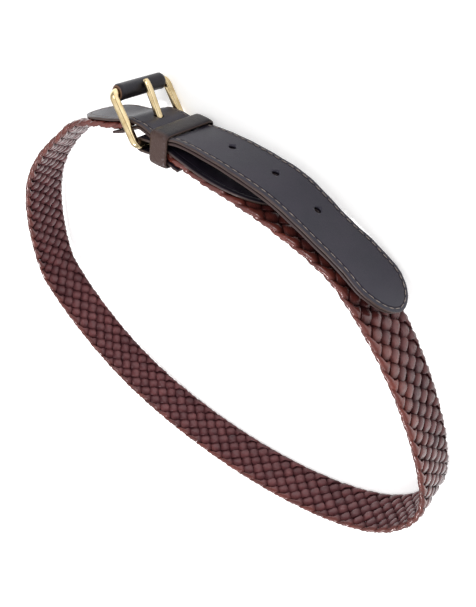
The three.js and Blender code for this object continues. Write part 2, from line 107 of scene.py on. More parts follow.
# %% How the strap lies off its winding: share of the girth, lean, push, lift
LIE = np.array([
    (-0.0117, 10, 0.075, 0.06),
    (0.0, 10.5, 0.083, 0.045),
    (0.013, 8, 0.012, 0.028),
    (0.027, 5, -0.036, 0.016),
    (0.064, 3, -0.034, 0.003),
    (0.117, 1, -0.019, 0.0),
    (0.17, 0, 0.0, 0.0),
    (0.8935, 2, 0.0, 0.0),
    (0.9255, 8, 0.016, 0.008),
    (0.9372, 9, -0.025, 0.013),
    (0.9468, 10, -0.065, 0.022),
    (0.9553, 12, -0.095, 0.03),
    (0.9627, 13, -0.095, 0.038),
    (0.9712, 13, -0.05, 0.03),
    (0.9867, 12, 0.083, 0.026),
    (1.0, 10.5, 0.008, 0.032),
    (1.0132, 12, 0.076, 0.015),
    (1.0329, 10.1, 0.108, 0.008),
    (1.0538, 8.3, 0.121, 0.008),
    (1.0717, 7.3, 0.116, 0.01),
    (1.1038, 10.1, -0.037, 0.001),
    (1.1278, 6.9, -0.046, -0.034),
    (1.1427, 5.6, 0.003, -0.099),
    (1.1562, 5.8, 0.026, -0.15),
])


def read_table(column, share):
    """Value of a column on a smooth curve through the table's rows."""
    rows, values = LIE[:, 0], LIE[:, column]
    slopes = np.zeros(len(rows))
    slopes[1:-1] = (values[2:] - values[:-2]) / (rows[2:] - rows[:-2])
    share = np.clip(share, rows[0], rows[-1])
    i = np.clip(np.searchsorted(rows, share, side="right") - 1, 0, len(rows) - 2)
    span = rows[i + 1] - rows[i]
    t = (share - rows[i]) / span
    ease = t * t * (3 - 2 * t)
    bend = span * t * (1 - t) * (slopes[i] * (1 - t) - slopes[i + 1] * t)
    return values[i] * (1 - ease) + values[i + 1] * ease + bend


# %% [markdown]
# ## Standing the belt up
# The buckle is wider than the strap, so the belt stands on the buckle's corner and on the strap
# opposite. The whole loop is tipped by a degree about the line of that far edge, then set down
# with its box centred on the origin. The camera is tipped by the same turn later.

# %% From the plain winding to where the belt stands
LOOP_TILT = math.radians(1.18308)
FAR_BEARING = math.radians(129)
LOOP_SHIFT = Vector((3.67087, 3.45095, 2.72601)) * MM
tip_axis = Vector((-math.sin(FAR_BEARING), math.cos(FAR_BEARING), 0))
STAND = Matrix.Translation(LOOP_SHIFT) @ Matrix.Rotation(LOOP_TILT, 4, tip_axis)
stand_turn = np.array(STAND.to_3x3())
stand_shift = np.array(STAND.translation)


def strap_frame(along):
    """Origin, ahead, out and up of the strap's middle at places along it, before it is stood up."""
    along = np.asarray(along, float)
    x = np.interp(along, lengths, winding_x)
    y = np.interp(along, lengths, winding_y)
    bearing = np.interp(along, lengths, bearings)
    share = along / GIRTH
    lean = np.radians(read_table(1, share))
    push = STRAP_WIDTH * read_table(2, share)
    lift = STRAP_WIDTH * read_table(3, share)
    level = np.stack([np.cos(bearing), np.sin(bearing), 0 * bearing], -1)
    ahead = np.stack([np.sin(bearing), -np.cos(bearing), 0 * bearing], -1)
    vertical = np.array([0.0, 0.0, 1.0])
    cos, sin = np.cos(lean)[..., None], np.sin(lean)[..., None]
    out = level * cos - vertical * sin
    up = level * sin + vertical * cos
    origin = np.stack([x, y, HALF_WIDTH + lift], -1) + level * push[..., None]
    return origin, ahead, out, up


def stand_up(points):
    return points @ stand_turn.T + stand_shift


def on_strap(along, out, up):
    """World points so far along the strap, out of its face and up its width."""
    origin, _, out_way, up_way = strap_frame(along)
    return stand_up(origin + out_way * np.asarray(out)[..., None] + up_way * np.asarray(up)[..., None])


# %% [markdown]
# ## Bending a flat piece
# Flat pieces lie face up: X runs along the strap, Y across it towards the lower edge and Z out of
# the face. Before a piece is bent, its flat place is kept in an attribute called flat, so grain,
# stitch lines and edge colour can follow the leather instead of the room.

# %% Helpers that finish a mesh
def coordinates(mesh):
    points = np.empty(len(mesh.vertices) * 3)
    mesh.vertices.foreach_get("co", points)
    return points.reshape(-1, 3)


def put_points(mesh, points):
    mesh.vertices.foreach_set("co", points.astype(np.float32).ravel())


def keep_attribute(mesh, name, values):
    """Keeps a number, or three, for every point, so that materials can read it."""
    values = np.asarray(values, float)
    kind, field = ("FLOAT_VECTOR", "vector") if values.ndim == 2 else ("FLOAT", "value")
    layer = mesh.attributes.new(name, kind, "POINT")
    layer.data.foreach_set(field, values.ravel())


def finish_piece(name, mesh, material, slot, *nodes):
    """A finished piece: smooth, with its material, riding on the belt and standing for its solids."""
    piece = bpy.data.objects.new(name, mesh)
    bpy.context.scene.collection.objects.link(piece)
    mesh.materials.clear()
    mesh.materials.append(material)
    for face in mesh.polygons:
        face.use_smooth = True
    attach(piece, "root")
    if nodes:
        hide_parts(*nodes)
    mesh.calc_loop_triangles()
    print(f"{name}: {len(mesh.loop_triangles)} triangles")


def mesh_from(bm, name):
    mesh = bpy.data.meshes.new(name)
    bm.to_mesh(mesh)
    bm.free()
    return mesh


def low_and_high(bm):
    """Lowest and highest Z, which tell a flat wall's two sides apart."""
    heights = [vert.co.z for vert in bm.verts]
    return min(heights), max(heights)


def bend(mesh, place):
    """Moves a flat mesh to where place says, given along, out and up, and keeps its flat place."""
    flat = coordinates(mesh)
    keep_attribute(mesh, "flat", flat)
    put_points(mesh, place(flat[:, 0], flat[:, 2], -flat[:, 1]))
    mesh.update()


# %% [markdown]
# ## Grain, pores and wear, made once
# All the leather here was dyed and rolled the same way, so one node group makes its fine grain and
# cloudy dye, and each leather calls it with its own scale. It puts out a height for the bump and a
# mask for the colour and polish.

# %% The leather grain group
def new_group(name, inputs, outputs):
    group = bpy.data.node_groups.new(name, "ShaderNodeTree")
    for socket, kind, value in inputs:
        made = group.interface.new_socket(socket, in_out="INPUT", socket_type=kind)
        if value is not None:
            made.default_value = value
    for socket, kind in outputs:
        group.interface.new_socket(socket, in_out="OUTPUT", socket_type=kind)
    start = group.nodes.new("NodeGroupInput")
    end = group.nodes.new("NodeGroupOutput")
    return group, start, end


def add_noise(tree, vector, scale, detail, roughness=0.55):
    noise = tree.nodes.new("ShaderNodeTexNoise")
    noise.inputs["Detail"].default_value = detail
    noise.inputs["Roughness"].default_value = roughness
    noise.inputs["Scale"].default_value = scale
    tree.links.new(vector, noise.inputs["Vector"])
    return noise.outputs["Fac"]


def add_math(tree, operation, first, second=None):
    node = tree.nodes.new("ShaderNodeMath")
    node.operation = operation
    for socket, value in zip(node.inputs, (first, second)):
        if isinstance(value, (int, float)):
            socket.default_value = value
        elif value is not None:
            tree.links.new(value, socket)
    return node.outputs[0]


def add_range(tree, value, low, high, to_low=0.0, to_high=1.0):
    """Turns low into to_low and high into to_high, evenly between them, and stops there."""
    node = tree.nodes.new("ShaderNodeMapRange")
    tree.links.new(value, node.inputs["Value"])
    sockets = ("From Min", "From Max", "To Min", "To Max")
    for socket, number in zip(sockets, (low, high, to_low, to_high)):
        node.inputs[socket].default_value = number
    return node.outputs["Result"]


def add_mix(tree, share, first, second):
    """Mixes two colours: the first where share is 0 and the second where it is 1."""
    node = tree.nodes.new("ShaderNodeMix")
    node.data_type = "RGBA"
    tree.links.new(share, node.inputs[0])
    colours = [socket for socket in node.inputs if socket.type == "RGBA"]
    for socket, value in zip(colours, (first, second)):
        if isinstance(value, tuple):
            socket.default_value = (*value, 1.0)
        else:
            tree.links.new(value, socket)
    return next(socket for socket in node.outputs if socket.type == "RGBA")


grain_group, grain_in, grain_out = new_group(
    "leather_grain",
    [("Vector", "NodeSocketVector", None), ("Pores per m", "NodeSocketFloat", 900.0)],
    [("Height", "NodeSocketFloat"), ("Cloud", "NodeSocketFloat")],
)
pores = grain_group.nodes.new("ShaderNodeTexVoronoi")
pores.feature = "DISTANCE_TO_EDGE"
grain_group.links.new(grain_in.outputs["Vector"], pores.inputs["Vector"])
grain_group.links.new(grain_in.outputs["Pores per m"], pores.inputs["Scale"])
pebble = add_range(grain_group, pores.outputs["Distance"], 0.0, 0.25)
creases = add_noise(grain_group, grain_in.outputs["Vector"], 160.0, detail=6.0)
height = add_math(grain_group, "ADD", add_math(grain_group, "MULTIPLY", pebble, 0.4), creases)
cloud = add_noise(grain_group, grain_in.outputs["Vector"], 55.0, detail=5.0, roughness=0.6)
grain_group.links.new(height, grain_out.inputs["Height"])
grain_group.links.new(cloud, grain_out.inputs["Cloud"])
print("group:", grain_group.name)

# %% [markdown]
# ## Leather that is dark on its face and paler at its cut edge
# Smooth leather is dyed through its face only. Where it was cut, burnished and rubbed, a thin paler
# line shows, and along a seam the thread pulls a shallow groove. Both follow how far a point lies
# from the edge, which each sheet keeps in an attribute called edge.

# %% Leather materials
def new_material(name):
    material = bpy.data.materials.new(name)
    material.use_nodes = True
    tree = material.node_tree
    shader = tree.nodes["Principled BSDF"]
    return material, tree, shader


def read_attribute(tree, name, kind="Fac"):
    node = tree.nodes.new("ShaderNodeAttribute")
    node.attribute_name = name
    return node.outputs[kind]


def add_grain(tree, vector, pores_per_metre):
    node = tree.nodes.new("ShaderNodeGroup")
    node.node_tree = grain_group
    tree.links.new(vector, node.inputs["Vector"])
    node.inputs["Pores per m"].default_value = pores_per_metre
    return node


def add_bump(tree, shader, height, distance, strength):
    bump = tree.nodes.new("ShaderNodeBump")
    bump.inputs["Distance"].default_value = distance
    bump.inputs["Strength"].default_value = strength
    tree.links.new(height, bump.inputs["Height"])
    tree.links.new(bump.outputs["Normal"], shader.inputs["Normal"])


SEAM_INSET = 2.2 * MM
GROOVE_INSET = SEAM_INSET + 0.45 * MM
EDGE_RAGGED = 0.8 * MM
LEATHER_PORES = 1500.0
# Painted light: the paler brown laid on the top of a creased band.
LIT_TOP_BROWN = (0.060, 0.036, 0.030)
COOL_GLOSS = (0.84, 0.86, 1.0, 1)


def smooth_leather(name, face, cloudy, edge, rough, seam=True, creases=0.0, gloss=0.30):
    """Leather of two face tones and an edge tone, with a seam's groove dulled as painted shade, or with
    creases and a top painted paler as light.
    """
    material, tree, shader = new_material(name)
    flat_place = read_attribute(tree, "flat", "Vector")
    grain = add_grain(tree, flat_place, LEATHER_PORES)
    cloud = add_range(tree, grain.outputs["Cloud"], 0.35, 0.7)
    colour = add_mix(tree, cloud, face, cloudy)
    edge_distance = read_attribute(tree, "edge")
    uneven = add_math(tree, "SUBTRACT", grain.outputs["Cloud"], 0.5)
    ragged = add_math(tree, "MULTIPLY", uneven, EDGE_RAGGED)
    ragged_distance = add_math(tree, "ADD", edge_distance, ragged)
    rim = add_range(tree, ragged_distance, 0.1 * MM, 0.5 * MM, 1.0, 0.0)
    colour = add_mix(tree, rim, colour, edge)
    roughness = add_range(tree, grain.outputs["Cloud"], 0.3, 0.7, rough, rough + 0.12)
    tree.links.new(roughness, shader.inputs["Roughness"])
    shader.inputs["Specular IOR Level"].default_value = gloss
    shader.inputs["Specular Tint"].default_value = COOL_GLOSS
    height = add_math(tree, "MULTIPLY", grain.outputs["Height"], 0.35)
    if seam:
        inward = add_math(tree, "SUBTRACT", edge_distance, GROOVE_INSET)
        from_groove = add_math(tree, "ABSOLUTE", inward)
        groove = add_range(tree, from_groove, 0.1 * MM, 0.8 * MM)
        height = add_math(tree, "ADD", height, add_math(tree, "MULTIPLY", groove, 1.6))
        # The groove's gloss is turned down there: painted shade along the seam.
        shaded_gloss = add_range(tree, from_groove, 0.15 * MM, 0.65 * MM, 0.06, 0.31)
        tree.links.new(shaded_gloss, shader.inputs["Specular IOR Level"])
    if creases:
        # With creases, the band's top is painted a paler brown, as light falling on it.
        lit_top = read_attribute(tree, "lit_top")
        colour = add_mix(tree, lit_top, colour, LIT_TOP_BROWN)
        folds = add_noise(tree, flat_place, 330.0, detail=2.0)
        folds = add_math(tree, "MULTIPLY", folds, add_range(tree, lit_top, 0.0, 1.0, 0.4, 2.0))
        height = add_math(tree, "ADD", height, add_math(tree, "MULTIPLY", folds, creases))
    tree.links.new(colour, shader.inputs["Base Color"])
    add_bump(tree, shader, height, 0.25 * MM, 0.6)
    return material


tab_leather = smooth_leather(
    "tab_leather", (0.0075, 0.006, 0.011), (0.015, 0.011, 0.018), (0.055, 0.035, 0.028), 0.34)
lining_leather = smooth_leather(
    "lining_leather", (0.018, 0.009, 0.008), (0.034, 0.016, 0.013), (0.040, 0.022, 0.018), 0.42)
keeper_leather = smooth_leather(
    "keeper_leather", (0.004, 0.003, 0.004), (0.014, 0.009, 0.008), (0.04, 0.024, 0.018), 0.26,
    seam=False, creases=3.0, gloss=0.19)
roller_leather = smooth_leather(
    "roller_leather", (0.005, 0.004, 0.005), (0.016, 0.011, 0.011), (0.13, 0.065, 0.035), 0.32,
    seam=False)
print("leathers:", tab_leather.name, lining_leather.name, keeper_leather.name, roller_leather.name)

# %% [markdown]
# ## The laces' leather
# The plait was dyed and waxed once it was made, and its crowns are polished. Its crevices get a
# painted shade, darker and less glossy, and its upper edge a painted light, lighter and warmer where
# it faces the lamps. The inner face is duller. The laces keep all of this in attributes: depth below
# the skin, a share towards the upper edge, and inner for the face towards the waist.

# %% The laces' leather
LACE_PORES = 700.0
CROWN_TONES = (0.028, 0.009, 0.012), (0.100, 0.024, 0.021)
# Painted light: lighter, warmer tones towards the upper edge, which faces the light.
LIT_TOP_TONES = (0.060, 0.015, 0.012), (0.145, 0.031, 0.020)
INNER_TONES = (0.046, 0.016, 0.019), (0.125, 0.038, 0.040)
# Painted shade: darker tones down in the crevices between the laces.
CREVICE_SHADE_TONES = (0.009, 0.003, 0.0035), (0.026, 0.0085, 0.010)
WARM_GLOSS = (1.0, 0.74, 0.77, 1)
lace_leather, tree, shader = new_material("lace_leather")
grain = add_grain(tree, read_attribute(tree, "flat", "Vector"), LACE_PORES)
depth = read_attribute(tree, "depth")
inner = read_attribute(tree, "inner")
streak = add_range(tree, grain.outputs["Cloud"], 0.3, 0.7)
crown = add_mix(tree, streak, *CROWN_TONES)
lit_top_colour = add_mix(tree, streak, *LIT_TOP_TONES)
dull = add_mix(tree, streak, *INNER_TONES)
# Towards the upper edge the crowns take the painted light.
crown_and_lit_top = add_mix(tree, read_attribute(tree, "lit_top"), crown, lit_top_colour)
toned = add_mix(tree, inner, crown_and_lit_top, dull)
# Deeper points take the crevices' painted shade in place of their own tone.
crevice_shade = add_mix(tree, inner, *CREVICE_SHADE_TONES)
colour = add_mix(tree, add_range(tree, depth, 0.12, 0.75), toned, crevice_shade)
tree.links.new(colour, shader.inputs["Base Color"])
roughness = add_range(tree, grain.outputs["Cloud"], 0.3, 0.7, 0.16, 0.30)
tree.links.new(roughness, shader.inputs["Roughness"])
add_bump(tree, shader, grain.outputs["Height"], 0.3 * MM, 0.5)
# Painted shade on the gloss as well: reflection and coat fade out down in the crevices. The inner face
# is duller.
shaded_gloss = add_range(tree, depth, 0.12, 0.6, 0.36, 0.03)
shaded_gloss = add_math(tree, "MULTIPLY", shaded_gloss, add_range(tree, inner, 0.0, 1.0, 1.0, 0.55))
tree.links.new(shaded_gloss, shader.inputs["Specular IOR Level"])
shader.inputs["Specular Tint"].default_value = WARM_GLOSS
tree.links.new(add_range(tree, depth, 0.06, 0.35, 0.35, 0.0), shader.inputs["Coat Weight"])
shader.inputs["Coat Roughness"].default_value = 0.12
print("leather of the plait:", lace_leather.name)

# %% [markdown]
# ## Brass and thread
# The brass has a polish that handling has clouded, and scratches finer than a hair. The thread is
# twisted and takes light unevenly. Both follow the piece's own place, as neither has a flat one.

# %% Brass and thread
BRASS_TONES = (0.68, 0.55, 0.33), (0.48, 0.36, 0.18)
THREAD_TONES = (0.070, 0.055, 0.048), (0.26, 0.21, 0.18)
brass, tree, shader = new_material("brass")
place = tree.nodes.new("ShaderNodeTexCoord")
tarnish = add_noise(tree, place.outputs["Object"], 260.0, detail=5.0)
scratches = add_noise(tree, place.outputs["Object"], 1800.0, detail=3.0)
colour = add_mix(tree, add_range(tree, tarnish, 0.4, 0.75), *BRASS_TONES)
tree.links.new(colour, shader.inputs["Base Color"])
tree.links.new(add_range(tree, tarnish, 0.3, 0.75, 0.12, 0.24), shader.inputs["Roughness"])
shader.inputs["Metallic"].default_value = 1.0
add_bump(tree, shader, scratches, 0.02 * MM, 0.12)

thread, tree, shader = new_material("thread")
place = tree.nodes.new("ShaderNodeTexCoord")
twist = add_noise(tree, place.outputs["Object"], 2500.0, detail=2.0)
colour = add_mix(tree, add_range(tree, twist, 0.35, 0.65), *THREAD_TONES)
tree.links.new(colour, shader.inputs["Base Color"])
shader.inputs["Roughness"].default_value = 0.45
add_bump(tree, shader, twist, 0.15 * MM, 0.5)
print("brass and thread:", brass.name, thread.name)

# %% [markdown]
# ## The plait
# Eight flat laces make the strap. Each runs down the outer face, turns under the lower edge, climbs
# the inner face and comes over the upper edge again. So its way is a straight line wound round a
# flattened tube. It goes over one lace and under the next by sinking to the tube's far side and
# rising again. Curves with a bevel would be shorter, but they twist where a lace turns over an edge.
# So each lace is a long grid, rolled up to an oval rod, and the eight rods are wound on the tube.

# %% The flattened tube that the laces wind round
LACES = 8
PITCH = 11 * MM
ROW = 4.55 * MM
LACE_THICKNESS = 2.0 * MM
LACE_FILL = 1.06
tube_radius = (BRAID_THICKNESS - LACE_THICKNESS) / 2
tube_flat = HALF_WIDTH - LACE_THICKNESS / 2 - tube_radius
quarter = math.pi * tube_radius / 2
TUBE = 4 * quarter + 4 * tube_flat
CROSSINGS = LACES - 1


def tube_place(v, sink):
    """Up and out of a point at v round the tube from its upper edge, sunk below its skin."""
    v = np.mod(v, TUBE)
    radius = tube_radius + sink
    marks = np.cumsum([quarter, 2 * tube_flat, 2 * quarter, 2 * tube_flat, quarter])
    part = np.searchsorted(marks, v, side="right")
    up = np.empty_like(v)
    out = np.empty_like(v)
    turn = v / tube_radius
    here = part == 0
    up[here] = tube_flat + (radius * np.cos(turn))[here]
    out[here] = (radius * np.sin(turn))[here]
    here = part == 1
    up[here] = tube_flat - (v - marks[0])[here]
    out[here] = radius[here]
    turn = (v - marks[1]) / tube_radius
    here = part == 2
    up[here] = -tube_flat - (radius * np.sin(turn))[here]
    out[here] = (radius * np.cos(turn))[here]
    here = part == 3
    up[here] = -tube_flat + (v - marks[2])[here]
    out[here] = -radius[here]
    turn = (v - marks[3]) / tube_radius
    here = part >= 4
    up[here] = tube_flat + (radius * np.sin(turn))[here]
    out[here] = (-radius * np.cos(turn))[here]
    return up, out


# %% A lace's way round the tube, counted in crossings
half_round = np.arange(CROSSINGS) + 1
way_count = np.concatenate([[0], half_round, [LACES], LACES + half_round, [2 * LACES]])
down_face = quarter + tube_flat - ROW * (LACES / 2 - half_round)
way_v = np.concatenate([[0], down_face, [TUBE / 2], TUBE / 2 + down_face, [TUBE]])


def lace_way(count):
    """How far round the tube a lace is at a count of crossings, and how deep it is sunk."""
    turns_done = np.floor(count / (2 * LACES))
    rest = count - turns_done * 2 * LACES
    v = np.interp(rest, way_count, way_v) + turns_done * TUBE
    within = np.mod(rest, LACES)
    on_face = (within > 1) & (within < LACES - 1)
    sink = np.where(on_face, -tube_radius * (1 + np.cos(math.pi * within)), 0.0)
    return v, sink


# %% Eight grids, rolled up to oval rods
braid_length = GIRTH - BRAID_TAIL - BRAID_HEAD
LACE_SIDES = 10
STATIONS_PER_PITCH = 13
GRID_WIDTH = 0.5
lace_steps = int(braid_length / PITCH * STATIONS_PER_PITCH)
bm = bmesh.new()
for lace in range(LACES):
    middle = Matrix.Translation((BRAID_HEAD + braid_length / 2, lace, 0))
    sized = middle @ Matrix.Diagonal((braid_length, GRID_WIDTH, 1, 1))
    bmesh.ops.create_grid(bm, x_segments=lace_steps, y_segments=LACE_SIDES, size=0.5, matrix=sized)
braid_mesh = mesh_from(bm, "braid")
flat = coordinates(braid_mesh)
lace_number = np.round(flat[:, 1])
round_lace = (flat[:, 1] - lace_number) / GRID_WIDTH * 2 * math.pi
side, rise = np.cos(round_lace), -np.sin(round_lace)
side = np.sign(side) * np.abs(side) ** 0.9
print("laces:", LACES, "of", lace_steps, "steps")


# %% The rods wound on the tube
def wander(wave, shift):
    """A slow wave along the laces, out of step from one lace to the next."""
    return np.sin(flat[:, 0] / (wave * MM) + shift * lace_number)


LOOSE = 0.05
ROW_WANDER = 0.35 * MM
SINK_WANDER = 0.1 * MM
NEARBY = 0.25
count = flat[:, 0] / (PITCH / 2) + 2 * lace_number
v, sink = lace_way(count)
ahead_v, _ = lace_way(count + NEARBY)
before_v, _ = lace_way(count - NEARBY)
angle = np.arctan2(ahead_v - before_v, NEARBY * PITCH)
slack = LOOSE * wander(7.3, 2.1) * wander(31, 1.3)
across = (side * (LACE_FILL + slack) + slack) * PITCH * np.sin(angle) / 2
v = v + ROW_WANDER * wander(9.1, 0.7) * wander(23, 1.9)
sink = sink + SINK_WANDER * wander(17, 3.7)
along = flat[:, 0] - across * np.sin(angle)
up, out = tube_place(v + across * np.cos(angle), sink + rise * LACE_THICKNESS / 2)

# %% What the laces keep for their leather, and the closed mesh
keep_attribute(braid_mesh, "flat", np.stack([flat[:, 0], across, lace_number * 0.1], -1))
skin = np.hypot(np.clip(np.abs(up) - tube_flat, 0, None), out)
# Depth under the skin, which the laces' material uses to paint shade into the crevices.
keep_attribute(braid_mesh, "depth", np.clip(1 - skin / (BRAID_THICKNESS / 2), 0, 1))
# A share towards the upper edge, which the laces' material paints lighter as light falling there.
keep_attribute(braid_mesh, "lit_top", np.clip((up / HALF_WIDTH - 0.15) / 0.85, 0, 1))
facing_in = np.clip(0.5 - out / (2 * MM), 0, 1)
below_rim = np.clip((0.95 - up / HALF_WIDTH) * 4, 0, 1)
keep_attribute(braid_mesh, "inner", facing_in * below_rim)
put_points(braid_mesh, on_strap(along, out, up))
bm = bmesh.new()
bm.from_mesh(braid_mesh)
bmesh.ops.remove_doubles(bm, verts=bm.verts[:], dist=0.001 * MM)
bmesh.ops.holes_fill(bm, edges=[edge for edge in bm.edges if edge.is_boundary])
bmesh.ops.recalc_face_normals(bm, faces=bm.faces[:])
bm.to_mesh(braid_mesh)
bm.free()
finish_piece("braid", braid_mesh, lace_leather, "plaited_leather", "braided_strap")

# %% [markdown]
# ## Cutting a sheet of leather
# A tab or a chape is a long strip with a rounded end. A grid is laid out flat, its rows are drawn in
# to the outline, and solidify gives it its thickness. Its rim is then thinned in a soft round, as an
# edge slicker leaves it. How far every point lies from the cut outline is measured and kept.

# %% Sheet helpers
RIM_ROUND = 0.75 * MM
RIM_THIN = 0.3
BLUNT = 0.09
OUTLINE_POINTS = 1500
OUTLINE_STEP = 0.5 * MM
RIM_STRIP = 1.5 * MM
RIM_ROWS = [0, 0.15 * MM, 0.4 * MM, 0.8 * MM]
ARC_STEPS = 16
FIRST_ARC_STEP = 4
BATCH = 64


def half_width_at(along, start, end, round_start, round_end, half=HALF_WIDTH):
    """Half the strip's width at places along it, drawn in to a blunt point at a rounded end."""
    share = np.zeros_like(along)
    if round_start > 0:
        share = np.where(along < start + round_start, (start + round_start - along) / round_start, share)
    if round_end > 0:
        share = np.where(along > end - round_end, (along - end + round_end) / round_end, share)
    return half * np.maximum(BLUNT, np.sqrt(np.clip(1 - share * share, 0, 1)))


def strip_outline(start, end, round_start, round_end, inset=0.0):
    """Points round a strip's outline, or round a line inset from it, an even step apart."""
    start, end, half = start + inset, end - inset, HALF_WIDTH - inset
    round_start = max(0.0, round_start - inset) if round_start else 0.0
    round_end = max(0.0, round_end - inset) if round_end else 0.0
    fine = (1 - np.cos(np.linspace(0, math.pi, OUTLINE_POINTS))) / 2
    x = start + (end - start) * fine
    edge = half_width_at(x, start, end, round_start, round_end, half)
    x = np.concatenate([x, x[::-1], x[:1]])
    y = np.concatenate([edge, -edge[::-1], edge[:1]])
    way = np.concatenate([[0], np.cumsum(np.hypot(np.diff(x), np.diff(y)))])
    even = np.linspace(0, way[-1], int(way[-1] / OUTLINE_STEP), endpoint=False)
    return np.stack([np.interp(even, way, x), np.interp(even, way, y)], -1)


def distance_to(points, outline):
    nearest = np.full(len(points), 1.0)
    for k in range(0, len(outline), BATCH):
        gap = points[:, None, :] - outline[None, k:k + BATCH, :]
        nearest = np.minimum(nearest, np.sqrt((gap ** 2).sum(-1)).min(1))
    return nearest


def even_places(start, end, round_start, round_end, step):
    """Places along a strip, closer together in its rounded ends and at the very rim."""
    first, last = start + max(round_start, RIM_STRIP), end - max(round_end, RIM_STRIP)
    arc_turns = np.arange(FIRST_ARC_STEP, ARC_STEPS) * math.pi / (2 * ARC_STEPS)
    arc = 1 - np.cos(arc_turns)
    places = [*np.linspace(first, last, int((last - first) / step) + 1)]
    places += [start + gap for gap in RIM_ROWS]
    places += [end - gap for gap in RIM_ROWS]
    if round_start:
        places += [*(start + round_start * arc)]
    if round_end:
        places += [*(end - round_end * arc)]
    return np.unique(np.round(places, 6))


ACROSS = np.array([0, 0.01, 0.03, 0.06, 0.12, 0.2, 0.3, 0.4])
ACROSS = np.concatenate([ACROSS, [0.5], 1 - ACROSS[::-1]]) * 2 - 1


def leather_sheet(name, start, end, round_start=0.0, round_end=0.0, step=2.4 * MM):
    """A flat sheet with a rounded outline, its middle at zero height, not yet bent."""
    places = even_places(start, end, round_start, round_end, step)
    bm = bmesh.new()
    bmesh.ops.create_grid(bm, x_segments=len(places) - 1, y_segments=len(ACROSS) - 1, size=0.5)
    half = half_width_at(places, start, end, round_start, round_end)
    for vert in bm.verts:
        column = round((vert.co.x + 0.5) * (len(places) - 1))
        row = round((vert.co.y + 0.5) * (len(ACROSS) - 1))
        vert.co = (places[column], ACROSS[row] * half[column], 0)
    bmesh.ops.solidify(bm, geom=bm.faces[:], thickness=LEATHER)
    bmesh.ops.translate(bm, verts=bm.verts[:], vec=(0, 0, -sum(low_and_high(bm)) / 2))
    bmesh.ops.recalc_face_normals(bm, faces=bm.faces[:])
    return mesh_from(bm, name)


def punch(mesh, cutters):
    """The mesh with holes where the cutters are: Blender's Boolean, applied at once."""
    sheet = bpy.data.objects.new("sheet", mesh)
    bpy.context.scene.collection.objects.link(sheet)
    tools = []
    for cutter in cutters:
        tool = bpy.data.objects.new("punch", cutter)
        bpy.context.scene.collection.objects.link(tool)
        modifier = sheet.modifiers.new("punch", "BOOLEAN")
        modifier.operation = "DIFFERENCE"
        modifier.solver = "EXACT"
        modifier.object = tool
        tools.append(tool)
    bpy.context.view_layer.update()
    punched = sheet.evaluated_get(bpy.context.evaluated_depsgraph_get())
    cut = bpy.data.meshes.new_from_object(punched)
    cut.name = mesh.name
    for thing in (sheet, *tools):
        bpy.data.objects.remove(thing)
    return cut


PUNCH_DEPTH = 8 * MM
PUNCH_SIDES = 24


def round_punch(x, y, width, length=None):
    """A round or long-holed cutter through a flat sheet."""
    length = length or width
    bm = bmesh.new()
    bmesh.ops.create_cone(
        bm, cap_ends=True, segments=PUNCH_SIDES, radius1=width / 2, radius2=width / 2,
        depth=PUNCH_DEPTH)
    for vert in bm.verts:
        vert.co.x += math.copysign((length - width) / 2, vert.co.x)
    bmesh.ops.translate(bm, verts=bm.verts[:], vec=(x, y, 0))
    return mesh_from(bm, "punch")


def soften_rim(mesh, outline):
    """Rounds the sheet's rim and keeps how far each point lies from the cut edge."""
    flat = coordinates(mesh)
    gap = distance_to(flat[:, :2], outline)
    share = np.clip(1 - gap / RIM_ROUND, 0, 1)
    flat[:, 2] *= RIM_THIN + (1 - RIM_THIN) * np.sqrt(np.clip(1 - share ** 2, 0, 1))
    put_points(mesh, flat)
    keep_attribute(mesh, "edge", gap)


# %% [markdown]
# ## The tab
# The tip end of the belt is two plain leathers, sewn face to lining. They hold the plait's tail
# between them, and close together past it. The face goes further back than the lining and ends
# round. Four holes are punched through both, and the prong sits in the one before them. A Boolean
# cuts them while the sheets are flat, which is cleaner than cutting bent leather.

# %% Tab face and lining
HOLE_DIAMETER = 3.8 * MM
HOLE_PITCH = 26 * MM
FIRST_HOLE = 6 * MM
FREE_HOLES = 4
HOLE_DROP = 2 * MM
PRONG_HOLE_AT = -13.4 * MM
PRONG_HOLE_LENGTH = 5.6 * MM
PRONG_HOLE_WIDTH = 4.6 * MM
CLOSE_AFTER = 1 * MM
holes = [(FIRST_HOLE + k * HOLE_PITCH, HOLE_DROP, HOLE_DIAMETER) for k in range(FREE_HOLES)]


def tab_layer_out(along):
    """How far a tab layer lies from the strap's middle: over the plait at first, then closed."""
    past = np.clip((along + BRAID_TAIL - CLOSE_AFTER) / LAYERS_CLOSE, 0, 1)
    past = past * past * (3 - 2 * past)
    return CHAPE_MIDDLE * (1 - past) + TAB_MIDDLE * past


def on_tab(layer):
    return lambda along, out, up: on_strap(GIRTH + along, layer * tab_layer_out(along) + out, up)


def tab_layer(name, layer, start, round_start, material, slot, node):
    sheet = leather_sheet(name, start, TAB_TIP, round_start, TAB_TIP_ROUND)
    cutters = [round_punch(*hole) for hole in holes]
    cutters.append(round_punch(PRONG_HOLE_AT, 0, PRONG_HOLE_WIDTH, PRONG_HOLE_LENGTH))
    sheet = punch(sheet, cutters)
    soften_rim(sheet, strip_outline(start, TAB_TIP, round_start, TAB_TIP_ROUND))
    bend(sheet, on_tab(layer))
    finish_piece(name, sheet, material, slot, node)


tab_layer(
    "tab_leather_face", 1, -TAB_BACK, TAB_BACK_ROUND, tab_leather, "smooth_leather", "tab_face")
tab_layer(
    "tab_leather_lining", -1, -LINING_BACK, 0.0, lining_leather, "lining_leather", "tab_lining")

# %% [markdown]
# ## The chape
# One strip of leather is folded round the buckle's bar. Its long tongue is sewn on the plait's outer
# face and its short end on the inner face. It is cut flat, with a slot in the fold for the prong,
# and folded as it is bent.

